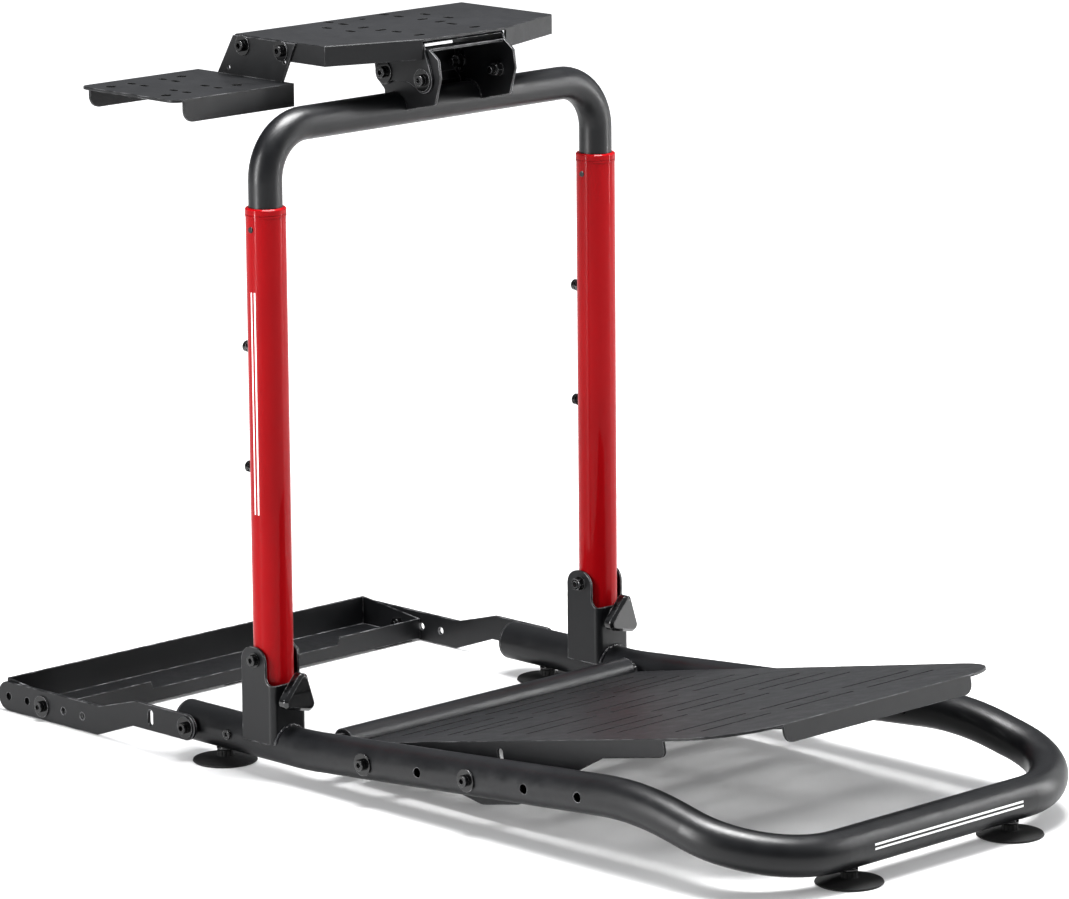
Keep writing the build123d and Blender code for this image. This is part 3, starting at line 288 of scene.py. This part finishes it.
def weld_bead(name, path, radius, body):
    """Run of overlapping weld scales along a path."""
    path = [Vector(point) for point in path]
    lengths = [0.0]
    for a, b in zip(path, path[1:]):
        lengths.append(lengths[-1] + (b - a).length)
    steps = max(8, int(lengths[-1] / WELD_STEP))
    rows = []
    for k in range(steps + 1):
        at = lengths[-1] * k / steps
        leg = min(max(i for i, v in enumerate(lengths) if v <= at + 1e-9), len(path) - 2)
        share = (at - lengths[leg]) / (lengths[leg + 1] - lengths[leg])
        spot = path[leg].lerp(path[leg + 1], share)
        along = (path[leg + 1] - path[leg]).normalized()
        side = along.orthogonal().normalized()
        over = along.cross(side)
        end = min(1.0, 0.35 + 0.65 * min(at, lengths[-1] - at) / WELD_TAPER)
        saw = (at % WELD_RIPPLE) / WELD_RIPPLE
        swell = radius * end * (0.82 + 0.24 * math.sqrt(max(0.0, 1 - saw * saw)))
        sway = 0.00025 * math.sin(at * 900) * side
        rows.append([spot + sway + swell * (math.cos(t) * side + math.sin(t) * over)
                     for t in (2 * math.pi * i / WELD_SIDES for i in range(WELD_SIDES))])
    return piece(name, shell(name, rows), body, weld_look)


def arc(centre, radius, start, end, u, v, count=40):
    """Points on an arc about a centre, from start to end degrees, measured from u towards v."""
    centre, u, v = Vector(centre), Vector(u), Vector(v)
    out = []
    for k in range(count + 1):
        t = math.radians(start + (end - start) * k / count)
        out.append(centre + radius * (math.cos(t) * u + math.sin(t) * v))
    return out


PRINT_LIFT = 0.00006
PRINT_SPANS = 6


def printed_stripe(name, start, end, out, radius, width, body):
    """Thin printed line along a tube: start and end lie on the tube's axis, out points at its middle."""
    start, end, out = Vector(start), Vector(end), Vector(out).normalized()
    side = (end - start).normalized().cross(out)
    half = 0.5 * width / radius
    ring = []
    for k in range(PRINT_SPANS + 1):
        t = half * (2 * k / PRINT_SPANS - 1)
        ring.append((radius + PRINT_LIFT) * (math.cos(t) * out + math.sin(t) * side))
    for k in range(PRINT_SPANS + 1):
        t = half * (1 - 2 * k / PRINT_SPANS)
        ring.append((radius - PRINT_LIFT) * (math.cos(t) * out + math.sin(t) * side))
    rows = [[spot + p for p in ring] for spot in (start, end)]
    return piece(name, shell(name, rows), body, print_white, smooth=False)


def middle(node):
    low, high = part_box(node)
    return (Vector(low) + Vector(high)) / 2


SIDES = {"right": -1, "left": 1}
rail_low, rail_high = (Vector(corner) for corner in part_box("base_frame"))
TUBE_R = 0.0225
HANDLE_R = 0.019
RAIL_AXIS_Z = rail_low.z + TUBE_R

# weld beads where the post brackets stand on the rails
for name, side in SIDES.items():
    low, high = (Vector(corner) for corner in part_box(f"{name}_post_bracket"))
    axis_y = (low.y + high.y) / 2
    web_x = high.x - 0.0049
    saddle = arc((web_x, axis_y, RAIL_AXIS_Z), TUBE_R + WELD_GAP, 12, 168, (0, 1, 0), (0, 0, 1))
    weld_bead(f"{name}_bracket_front_weld", saddle, 0.0021, "base")
    for edge, outward in (("inner", -side), ("outer", side)):
        flange_y = axis_y + outward * (TUBE_R + 0.0014)
        seam = [(low.x + 0.001, flange_y, low.z + 0.0006), (web_x - 0.004, flange_y, low.z + 0.0006)]
        weld_bead(f"{name}_bracket_{edge}_weld", seam, 0.0019, "base")
    rear = arc((low.x, axis_y, RAIL_AXIS_Z), TUBE_R + WELD_GAP, 12, 40, (0, side, 0), (0, 0, 1), 16)
    weld_bead(f"{name}_bracket_rear_weld", rear, 0.0016, "base")

# weld beads between the handle's top bar and the cheeks' inner faces
cheek_high = Vector(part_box("tilt_cheeks")[1])
bar_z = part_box("handle_tube")[1][2] - HANDLE_R
for name, side in SIDES.items():
    face_y = side * (cheek_high.y - 0.0036)
    over_bar = arc((0, face_y, bar_z), HANDLE_R + WELD_GAP, 8, 172, (1, 0, 0), (0, 0, 1))
    weld_bead(f"{name}_cheek_weld", over_bar, 0.0016, "handle")

# plain pairs of printed lines along the right post and the front bar
post = middle("right_post_tube")
post_low = Vector(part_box("right_post_tube")[0])
print_low, print_high = post_low.z + 0.199, post_low.z + 0.451
for row, turn in (("upper", 6.4), ("lower", -6.4)):
    angle = math.radians(-86 + turn)
    toward_face = (math.cos(angle), math.sin(angle), 0)
    printed_stripe(f"post_{row}_line", (post.x, post.y, print_low), (post.x, post.y, print_high),
                   toward_face, TUBE_R, 0.0022, "uprights")
front_x = rail_high.x - TUBE_R
for row, turn in (("upper", 6), ("lower", -6)):
    angle = math.radians(4 + turn)
    toward_face = (math.cos(angle), 0, math.sin(angle))
    printed_stripe(f"front_bar_{row}_line", (front_x, -0.112, RAIL_AXIS_Z), (front_x, 0.124, RAIL_AXIS_Z),
                   toward_face, TUBE_R, 0.0024, "base")


# ---------------------------------------------------------------- floor, lights and backdrop
def softbox(name, at, target, size, power):
    """White rectangular area light, aimed at a point."""
    data = bpy.data.lights.new(name, "AREA")
    data.shape = "RECTANGLE"
    data.size, data.size_y = size
    data.energy = power
    lamp = bpy.data.objects.new(name, data)
    scene.collection.objects.link(lamp)
    lamp.location = at
    lamp.rotation_euler = (Vector(target) - Vector(at)).to_track_quat("-Z", "Y").to_euler()


softbox("front_softbox", (2.5, 2.4, 1.5), (0.2, 0, 0.4), (2.4, 2.2), 40)
softbox("side_strip", (-0.95, -3.6, 1.2), (0, 0, 0.5), (0.34, 2.6), 165)
softbox("rim_strip", (0.35, 3.4, 1.2), (0, 0, 0.4), (0.4, 2.4), 12)
softbox("overhead_softbox", (0.3, 0.1, 3.4), (0.2, 0, 0), (1.3, 2.0), 345)
softbox("thin_strip", (1.9, 2.65, 1.2), (0, 0, 0.5), (0.18, 2.4), 60)

FLOOR_HALF = 30.0
floor_mesh = bpy.data.meshes.new("studio_floor")
corners = [(-1, -1), (1, -1), (1, 1), (-1, 1)]
floor_mesh.from_pydata([(x * FLOOR_HALF, y * FLOOR_HALF, 0) for x, y in corners], [], [(0, 1, 2, 3)])
floor = bpy.data.objects.new("studio_floor", floor_mesh)
scene.collection.objects.link(floor)
floor_look = Graph("studio_floor")
floor_look.shader.inputs["Roughness"].default_value = 0.55
pale = floor_look.span(floor_look.noise(3.0, 3.0), 0.50, 0.53, 0.3, 0.7)
floor_colour = floor_look.add("ShaderNodeCombineColor", {"Red": pale, "Green": pale, "Blue": pale})
floor_look.feed(floor_look.shader.inputs["Base Color"], floor_colour.outputs["Color"])
floor_look.shader.inputs["Emission Color"].default_value = (1, 1, 1, 1)
# painted light: the floor glows, weakly near the stand and more strongly further away, so the far floor
# stays white where the lamps fall off and the floor near the stand, shadows included, is lifted
ground = floor_look.add("ShaderNodeNewGeometry").outputs["Position"]
reach = floor_look.add("ShaderNodeVectorMath", operation="LENGTH")
floor_look.feed(reach.inputs[0], ground)
painted_floor_glow = floor_look.span(reach.outputs["Value"], 0.2, 0.85, 0.9, 3.4)
floor_look.feed(floor_look.shader.inputs["Emission Strength"], painted_floor_glow)
floor_mesh.materials.append(floor_look.material)

world = bpy.data.worlds.new("studio_world")
scene.world = world
world.use_nodes = True
sky = world.node_tree
backdrop = sky.nodes["Background"]
backdrop.inputs["Color"].default_value = (0.94, 0.96, 1.0, 1.0)
toward = sky.nodes.new("ShaderNodeTexCoord")
height = sky.nodes.new("ShaderNodeSeparateXYZ")
glow = sky.nodes.new("ShaderNodeMapRange")
seen = sky.nodes.new("ShaderNodeLightPath")
either = sky.nodes.new("ShaderNodeMix")
sky.links.new(toward.outputs["Generated"], height.inputs[0])
sky.links.new(height.outputs["Z"], glow.inputs["Value"])
glow.inputs["From Min"].default_value = 0.0
glow.inputs["From Max"].default_value = 0.9
glow.inputs["To Min"].default_value = 0.16
glow.inputs["To Max"].default_value = 0.6
sky.links.new(seen.outputs["Is Camera Ray"], either.inputs[0])
sky.links.new(glow.outputs["Result"], either.inputs[2])
either.inputs[3].default_value = 1.05
sky.links.new(either.outputs[0], backdrop.inputs["Strength"])
scene.view_settings.view_transform = "Standard"
scene.view_settings.gamma = 0.84
